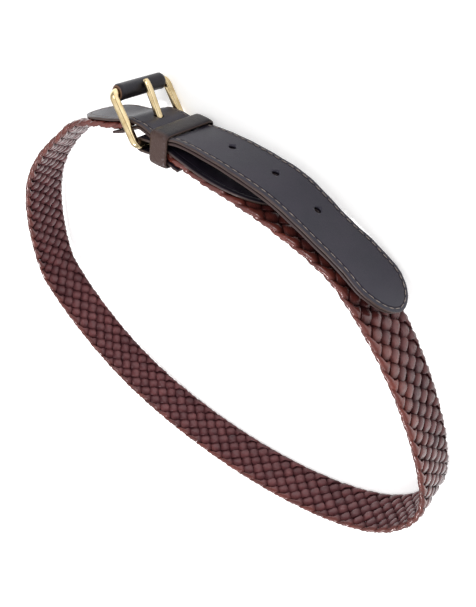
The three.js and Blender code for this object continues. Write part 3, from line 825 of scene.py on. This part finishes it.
# %% Chape
CHAPE_TONGUE, CHAPE_ROUND = 64 * MM, 34 * MM
CHAPE_INNER = 13 * MM
CHAPE_STEP = 1.2 * MM
SLOT_WIDTH, SLOT_LENGTH = 5.4 * MM, 26 * MM
chape_outer = CHAPE_TONGUE + HINGE_AT
chape_fold = math.pi * CHAPE_MIDDLE
chape_end = chape_outer + chape_fold + HINGE_AT + CHAPE_INNER


def on_chape(along, out, up):
    """From the tongue's end to the fold, round the hinge bar, and back on the inner face."""
    over_bar = np.clip((along - chape_outer) / CHAPE_MIDDLE, 0, math.pi)
    radius = CHAPE_MIDDLE + out
    on_outer = along <= chape_outer
    on_inner = along >= chape_outer + chape_fold
    place = np.where(on_outer, CHAPE_TONGUE - along, -HINGE_AT - radius * np.sin(over_bar))
    place = np.where(on_inner, -HINGE_AT + along - chape_outer - chape_fold, place)
    return on_strap(place, radius * np.cos(over_bar), up)


chape_sheet = leather_sheet("chape_leather", 0.0, chape_end, CHAPE_ROUND, step=CHAPE_STEP)
slot_cutter = round_punch(chape_outer + chape_fold / 2, 0, SLOT_WIDTH, SLOT_LENGTH)
chape_sheet = punch(chape_sheet, [slot_cutter])
soften_rim(chape_sheet, strip_outline(0.0, chape_end, CHAPE_ROUND, 0.0))
bend(chape_sheet, on_chape)
chape_sheet.flip_normals()
finish_piece("chape_leather", chape_sheet, tab_leather, "smooth_leather", "chape")

# %% [markdown]
# ## Stitches
# Thread shows as a row of long thin stitches, each dipping into the leather at its ends. Bump alone
# wouldn't stand out along the edge, so a small ball is stretched to one stitch and repeated along a
# line inset from the edge. That is done on the flat sheet, and the row is bent with it.

# %% Stitch rows
STITCH_PITCH = 4.2 * MM
STITCH_LENGTH = 3.6 * MM
STITCH_WIDTH = 0.5 * MM
STITCH_RISE = 0.25 * MM
STITCH_SIDES, STITCH_RINGS = 8, 5
STITCH_SUNK = 0.02 * MM
LOOK_AHEAD = 0.5 * MM
SEAM_STOPS_SHORT = 1 * MM


def stitch_row(name, line, height, place):
    """Stitches along a flat line, their middles at a height over the sheet's middle."""
    bm = bmesh.new()
    way = np.concatenate([[0], np.cumsum(np.hypot(*np.diff(line, axis=0).T))])
    for at in np.arange(STITCH_PITCH / 2, way[-1] - STITCH_PITCH / 2, STITCH_PITCH):
        x, y = (np.interp(at, way, line[:, k]) for k in (0, 1))
        next_x, next_y = (np.interp(at + LOOK_AHEAD, way, line[:, k]) for k in (0, 1))
        turned = Matrix.Rotation(math.atan2(next_y - y, next_x - x), 4, "Z")
        shape = Matrix.Diagonal((STITCH_LENGTH / 2, STITCH_WIDTH / 2, STITCH_RISE, 1))
        where = Matrix.Translation((x, y, height)) @ turned @ shape
        bmesh.ops.create_uvsphere(
            bm, u_segments=STITCH_SIDES, v_segments=STITCH_RINGS, radius=1, matrix=where)
    print(f"{name}: a seam of {way[-1] / MM:.1f} mm")
    mesh = mesh_from(bm, name)
    bend(mesh, place)
    finish_piece(name, mesh, thread, "smooth_leather")


tab_seam = strip_outline(-TAB_BACK, TAB_TIP, TAB_BACK_ROUND, TAB_TIP_ROUND, inset=SEAM_INSET)
stitch_row("tab_face_stitches", tab_seam, LEATHER / 2 - STITCH_SUNK, on_tab(1))
lining_seam = tab_seam[tab_seam[:, 0] > -LINING_BACK + SEAM_STOPS_SHORT]
stitch_row("tab_lining_stitches", lining_seam, -LEATHER / 2, on_tab(-1))

# %% [markdown]
# ## Keeper
# A short band of leather closed to a loop round the strap. A flat grid is wrapped round a rounded
# rectangle, and its wall swells in the middle of its width, as a folded and padded band does. Its
# inside is measured from the corners of the leathers that go through it.

# %% What the keeper goes round
KEEPER_WIDTH = 11 * MM
KEEPER_LEATHER = 1.5 * MM
KEEPER_AT = 2 * MM
KEEPER_CLEARANCE = 0.35 * MM
KEEPER_CORNER = 3 * MM
keeper_origin, keeper_ahead, keeper_out, keeper_up = strap_frame(KEEPER_AT)
TAB_HALF = LAYER_GAP / 2 + LEATHER


def before_standing(along, out, up):
    origin, _, out_way, up_way = strap_frame(along)
    return origin + out_way * out + up_way * up


corners = []
for past in (-KEEPER_WIDTH / 2, 0, KEEPER_WIDTH / 2):
    for edge in (-HALF_WIDTH, HALF_WIDTH):
        inner = before_standing(KEEPER_AT + past, -CHAPE_MIDDLE - LEATHER / 2, edge) - keeper_origin
        outer = before_standing(GIRTH + KEEPER_AT + past, TAB_HALF, edge) - keeper_origin
        corners.append((inner @ keeper_out, inner @ keeper_up))
        corners.append((outer @ keeper_out, outer @ keeper_up))
corners = np.array(corners)
keeper_low = corners.min(0) - KEEPER_CLEARANCE
keeper_high = corners.max(0) + KEEPER_CLEARANCE
print("keeper inside, mm:", np.round((keeper_high - keeper_low) / MM, 1))

# %% The way round the keeper
KEEPER_SIGNS = [(1, -1), (1, 1), (-1, 1), (-1, -1)]
inner_corner = KEEPER_CORNER - KEEPER_LEATHER
width, tall = keeper_high - keeper_low


def keeper_loop(share):
    """Point and outward way at a share of the way round the keeper's inner rectangle."""
    straight_out = width - 2 * inner_corner
    straight_up = tall - 2 * inner_corner
    bend_length = math.pi / 2 * inner_corner
    parts = [straight_out, bend_length, straight_up, bend_length] * 2
    marks = np.concatenate([[0], np.cumsum(parts)])
    way = share * marks[-1]
    part = min(int(np.searchsorted(marks, way, side="right")), len(parts)) - 1
    rest = way - marks[part]
    side_number, on_corner = divmod(part, 2)
    turn = (side_number - 1) * math.pi / 2 + on_corner * rest / inner_corner
    normal = np.array([math.cos(turn), math.sin(turn)])
    centre = keeper_low + np.array([width, tall]) / 2
    corner = centre + np.array(KEEPER_SIGNS[side_number]) * (straight_out, straight_up) / 2
    point = corner + normal * inner_corner
    if on_corner:
        return point, normal
    return point - np.array([-normal[1], normal[0]]) * (parts[part] - rest), normal


# %% The keeper's band
KEEPER_AROUND = 72
KEEPER_ROWS = 10
KEEPER_RIM = 0.45
bm = bmesh.new()
bmesh.ops.create_grid(bm, x_segments=KEEPER_AROUND, y_segments=KEEPER_ROWS, size=0.5)
bmesh.ops.solidify(bm, geom=bm.faces[:], thickness=1.0)
low, high = low_and_high(bm)
for vert in bm.verts:
    share, over, level = vert.co.x + 0.5, vert.co.y * 2, (vert.co.z - low) / (high - low)
    point, normal = keeper_loop(share % 1.0)
    swell = math.sqrt(max(0.0, 1 - abs(over) ** 2.5))
    wall = KEEPER_LEATHER * (KEEPER_RIM + (1 - KEEPER_RIM) * swell) * level
    spot = point + normal * wall
    place = (keeper_origin + keeper_out * spot[0] + keeper_up * spot[1]
             + keeper_ahead * (over * KEEPER_WIDTH / 2))
    vert.co = stand_up(place)
bmesh.ops.remove_doubles(bm, verts=bm.verts[:], dist=0.01 * MM)
bmesh.ops.recalc_face_normals(bm, faces=bm.faces[:])
keeper_mesh = mesh_from(bm, "keeper_band")
keeper_points = coordinates(keeper_mesh)
keep_attribute(keeper_mesh, "flat", keeper_points)
turned_back = (keeper_points - stand_shift) @ stand_turn - keeper_origin
keep_attribute(keeper_mesh, "edge", KEEPER_WIDTH / 2 - np.abs(turned_back @ keeper_ahead))
# How far a point lies over the top of the band, where paler brown is painted as light.
over_the_top = (turned_back @ keeper_up - keeper_high[1]) / MM + 0.5
keep_attribute(keeper_mesh, "lit_top", np.clip(over_the_top, 0, 1))
finish_piece("keeper_band", keeper_mesh, keeper_leather, "smooth_leather", "keeper")

# %% [markdown]
# ## The buckle
# The frame is one brass wire bent to a rectangle. It has its own three directions: reach, from the
# hinge bar to the end bar, up along the bars, and front, out of the face that the prong lies on.
# A circle is spun round each corner and pulled along each side.

# %% The buckle's own directions
WIRE = 4.0 * MM
BUCKLE_WIDTH = 41.4 * MM
BUCKLE_LENGTH = 31.4 * MM
BUCKLE_CORNER = 3.2 * MM
BUCKLE_STAND = math.radians(36)
BAR_SPACING = BUCKLE_LENGTH - WIRE
hinge, ahead_way, out_way, up_way = (Vector(part) for part in strap_frame(-HINGE_AT))
reach_way = out_way * math.cos(BUCKLE_STAND) - ahead_way * math.sin(BUCKLE_STAND)
front_way = reach_way.cross(up_way)
basis = Matrix((reach_way, up_way, front_way)).transposed().to_4x4()
BUCKLE_PLACE = STAND @ Matrix.Translation(hinge) @ basis

# %% The wire frame
WIRE_SIDES = 24
WIRE_SQUARE = 3
CORNER_STEPS = 10
LEG_STEPS = 6


def last_edges(made):
    """The open edges that a spin ended on."""
    return [part for part in made["geom_last"] if isinstance(part, bmesh.types.BMEdge)]


half_bars = (BUCKLE_WIDTH - WIRE) / 2
bm = bmesh.new()
start = Matrix.Translation((BUCKLE_CORNER, -half_bars, 0)) @ Matrix.Rotation(math.pi / 2, 4, "Y")
ring = bmesh.ops.create_circle(bm, segments=WIRE_SIDES, radius=WIRE / 2, matrix=start)["verts"]
for vert in ring:
    y, z = vert.co.y + half_bars, vert.co.z
    powers = abs(y / WIRE * 2) ** WIRE_SQUARE + abs(z / WIRE * 2) ** WIRE_SQUARE
    square = powers ** (1 / WIRE_SQUARE)
    vert.co.y, vert.co.z = y / square - half_bars, z / square
edges = bm.edges[:]
legs = [BAR_SPACING - 2 * BUCKLE_CORNER, 2 * half_bars - 2 * BUCKLE_CORNER] * 2
heading = Vector((1, 0, 0))
at = Vector((BUCKLE_CORNER, -half_bars, 0))
for leg in legs:
    edges = last_edges(bmesh.ops.spin(
        bm, geom=edges, cent=at, axis=(0, 0, 1), angle=0, steps=LEG_STEPS,
        dvec=heading * leg / LEG_STEPS))
    at = at + heading * leg
    left = Vector((-heading.y, heading.x, 0))
    centre = at + left * BUCKLE_CORNER
    edges = last_edges(bmesh.ops.spin(
        bm, geom=edges, cent=centre, axis=(0, 0, 1), angle=math.pi / 2, steps=CORNER_STEPS))
    at = centre + heading * BUCKLE_CORNER
    heading = left
bmesh.ops.remove_doubles(bm, verts=bm.verts[:], dist=0.02 * MM)
bmesh.ops.recalc_face_normals(bm, faces=bm.faces[:])
bmesh.ops.transform(bm, matrix=BUCKLE_PLACE, verts=bm.verts[:])
finish_piece("buckle_wire", mesh_from(bm, "buckle_wire"), brass, "brass", "buckle_frame")

# %% [markdown]
# ## The prong
# Flat brass bar, curled round the hinge bar and lying with its tip on the roller. Its section is
# spun round the bar for the curl and then pulled out along the shank.

# %% The prong
PRONG_WIDTH = 3.6 * MM
PRONG_THICKNESS = 3.2 * MM
PRONG_CLEARANCE = 0.35 * MM
PRONG_SIDES = 16
PRONG_SQUARE = 4
CURL_TURN = math.radians(300)
CURL_STEPS = 30
SHANK_STEPS = 16
TAPER_FROM, TAPER = 0.9, 3.2
ROLLER_DIAMETER = 7.6 * MM
curl_half = PRONG_THICKNESS * 0.3
loop_middle = WIRE / 2 + PRONG_CLEARANCE + curl_half
rest_height = ROLLER_DIAMETER / 2 + PRONG_CLEARANCE + PRONG_THICKNESS / 2
tip_at = BAR_SPACING + ROLLER_DIAMETER * 0.15
bm = bmesh.new()
section = Matrix.Translation((0, 0, loop_middle)) @ Matrix.Rotation(math.pi / 2, 4, "Y")
ring = bmesh.ops.create_circle(bm, segments=PRONG_SIDES, radius=1.0, matrix=section)["verts"]
for vert in ring:
    y, z = vert.co.y, vert.co.z - loop_middle
    square = (abs(y) ** PRONG_SQUARE + abs(z) ** PRONG_SQUARE) ** (1 / PRONG_SQUARE)
    vert.co = (0, y / square * PRONG_WIDTH / 2, loop_middle + z / square * curl_half)
edges = bm.edges[:]
made = bmesh.ops.spin(
    bm, geom=edges, cent=(0, 0, 0), axis=(0, 1, 0), angle=-CURL_TURN, steps=CURL_STEPS)
bmesh.ops.holes_fill(bm, edges=last_edges(made))
shank = [edge for edge in bm.edges if edge.is_boundary]
for k in range(SHANK_STEPS):
    share = (k + 1) / SHANK_STEPS
    made = bmesh.ops.extrude_edge_only(bm, edges=shank)["geom"]
    verts = [part for part in made if isinstance(part, bmesh.types.BMVert)]
    shank = [part for part in made if isinstance(part, bmesh.types.BMEdge) and part.is_boundary]
    middle = sum((vert.co for vert in verts), Vector()) / len(verts)
    rise = share * share * (3 - 2 * share)
    goal = Vector((tip_at * share, 0, loop_middle + (rest_height - loop_middle) * rise))
    taper = 1.0 - TAPER * max(0.0, share - TAPER_FROM)
    thick = (0.6 + 0.4 * min(1.0, share * 5)) * taper
    half_y = max(abs(vert.co.y) for vert in verts)
    half_z = max(abs(vert.co.z - middle.z) for vert in verts)
    for vert in verts:
        off = vert.co - middle
        vert.co.x = goal.x
        vert.co.y = off.y / half_y * PRONG_WIDTH / 2 * taper
        vert.co.z = goal.z + off.z / half_z * PRONG_THICKNESS / 2 * thick
bmesh.ops.holes_fill(bm, edges=shank)
bmesh.ops.remove_doubles(bm, verts=bm.verts[:], dist=0.005 * MM)
bmesh.ops.recalc_face_normals(bm, faces=bm.faces[:])
bmesh.ops.transform(bm, matrix=BUCKLE_PLACE, verts=bm.verts[:])
finish_piece("prong_brass", mesh_from(bm, "prong_brass"), brass, "brass", "prong")

# %% [markdown]
# ## The roller
# A leather rolled round the end bar, so the prong doesn't rub on brass. It is one strip wound once
# round, its sewn end lapped over its beginning, and its two ends are slightly swollen lips.

# %% The leather roller
ROLLER_LENGTH = 31.8 * MM
ROLLER_CLEARANCE = 0.3 * MM
ROLLER_TURNS = 1.04
ROLLER_LAP, ROLLER_LAP_FROM = 0.9 * MM, 0.55
ROLLER_LAP_AT = math.radians(215)
ROLLER_LIP, ROLLER_LIP_FROM = 0.5 * MM, 0.8
ROLLER_RIM_FROM = 0.95
ROLLER_SIDES = 48
ROLLER_ROWS = 24
bm = bmesh.new()
bmesh.ops.create_grid(bm, x_segments=ROLLER_SIDES, y_segments=ROLLER_ROWS, size=0.5)
bmesh.ops.solidify(bm, geom=bm.faces[:], thickness=1.0)
low, high = low_and_high(bm)
for vert in bm.verts:
    turn, over, level = vert.co.x + 0.5, vert.co.y * 2, (vert.co.z - low) / (high - low)
    rim = max(0.0, abs(over) - ROLLER_RIM_FROM) / (1 - ROLLER_RIM_FROM)
    lip = max(0.0, abs(over) - ROLLER_LIP_FROM) / (1 - ROLLER_LIP_FROM) * turn ** 4
    lap = max(0.0, turn - ROLLER_LAP_FROM) / (1 - ROLLER_LAP_FROM)
    lap = ROLLER_LAP * lap ** 2 + ROLLER_LIP * lip
    outer = ROLLER_DIAMETER / 2 + lap
    inner = WIRE / 2 + ROLLER_CLEARANCE + lap * 0.9
    radius = inner + (outer - inner) * level * math.sqrt(max(0.1, 1 - 0.75 * rim * rim))
    angle = ROLLER_LAP_AT + turn * ROLLER_TURNS * 2 * math.pi
    across_bar = -over * ROLLER_LENGTH / 2
    vert.co = (BAR_SPACING + radius * math.cos(angle), across_bar, radius * math.sin(angle))
roller_edge = [ROLLER_LENGTH / 2 - abs(vert.co.y) for vert in bm.verts]
bmesh.ops.recalc_face_normals(bm, faces=bm.faces[:])
bmesh.ops.transform(bm, matrix=BUCKLE_PLACE, verts=bm.verts[:])
roller_mesh = mesh_from(bm, "roller_leather")
keep_attribute(roller_mesh, "flat", coordinates(roller_mesh))
keep_attribute(roller_mesh, "edge", roller_edge)
finish_piece("roller_leather", roller_mesh, roller_leather, "smooth_leather", "roller_wrap")

# %% [markdown]
# ## Floor and light
# A wide pale sheet and soft light give the even white of a catalogue picture. The room is bright
# overhead and dim at the height that leather mirrors, which keeps the gloss from turning grey. Low
# down it is pale again, so that the sheet's far edge doesn't show. Two soft suns add the glints.

# %% Floor and light
FLOOR_HALF = 25.0
bm = bmesh.new()
bmesh.ops.create_grid(bm, x_segments=1, y_segments=1, size=FLOOR_HALF)
floor = bpy.data.objects.new("floor", mesh_from(bm, "floor"))
bpy.context.scene.collection.objects.link(floor)
paper, tree, shader = new_material("paper")
shader.inputs["Base Color"].default_value = (0.93, 0.93, 0.93, 1)
shader.inputs["Emission Color"].default_value = (1, 1, 1, 1)
shader.inputs["Emission Strength"].default_value = 0.3
shader.inputs["Roughness"].default_value = 0.9
floor.data.materials.append(paper)

world = bpy.data.worlds.new("studio")
bpy.context.scene.world = world
world.use_nodes = True
tree = world.node_tree
sky = tree.nodes.new("ShaderNodeTexCoord")
height = tree.nodes.new("ShaderNodeSeparateXYZ")
tree.links.new(sky.outputs["Generated"], height.inputs["Vector"])
overhead = add_range(tree, height.outputs["Z"], 0.30, 0.75, 0.22, 1.35)
backdrop = add_range(tree, height.outputs["Z"], 0.20, 0.32, 1.0, 0.22)
glow = add_math(tree, "MAXIMUM", overhead, backdrop)
tree.links.new(glow, tree.nodes["Background"].inputs["Strength"])
tree.nodes["Background"].inputs["Color"].default_value = (1, 1, 1, 1)


def soft_sun(name, comes_from, spread, strength):
    lamp = bpy.data.lights.new(name, "SUN")
    lamp.angle = math.radians(spread)
    lamp.energy = strength
    lit = bpy.data.objects.new(name, lamp)
    bpy.context.scene.collection.objects.link(lit)
    lit.rotation_euler = Vector(comes_from).to_track_quat("Z", "Y").to_euler()


soft_sun("key", (-0.35, 0.75, 1.0), 8, 1.7)
soft_sun("front", (0.35, -1.0, 0.75), 22, 1.0)

# %% [markdown]
# ## Camera
# It stands where the photograph's did, worked out from the strap's outline: aim, height, roll and
# distance, turned with the loop as it was stood up. The picture is tall, so the lens goes by its
# height.

# %% Camera
PHOTO_HEIGHT = 607
FOCAL_PIXELS = 628.3
SENSOR = 36.0
CAMERA_RISE = math.radians(33.02)
CAMERA_ROLL = math.radians(-132.36)
CAMERA_AWAY = 376.3 * MM
CAMERA_AIM = Vector((2.08, -44.6, 16.0)) * MM
right = Vector((1, 0, 0))
view_way = Vector((0, math.cos(CAMERA_RISE), -math.sin(CAMERA_RISE)))
above = right.cross(view_way)
camera_x = right * math.cos(CAMERA_ROLL) + above * math.sin(CAMERA_ROLL)
camera_y = -right * math.sin(CAMERA_ROLL) + above * math.cos(CAMERA_ROLL)
turned = Matrix((camera_x, camera_y, -view_way)).transposed().to_4x4()
lens = bpy.data.cameras.new("camera")
lens.sensor_width = SENSOR
lens.sensor_fit = "AUTO"
lens.lens = FOCAL_PIXELS / PHOTO_HEIGHT * SENSOR
camera = bpy.data.objects.new("camera", lens)
bpy.context.scene.collection.objects.link(camera)
camera.matrix_world = STAND @ Matrix.Translation(CAMERA_AIM - view_way * CAMERA_AWAY) @ turned
bpy.context.scene.camera = camera
bpy.context.scene.view_settings.view_transform = "Standard"
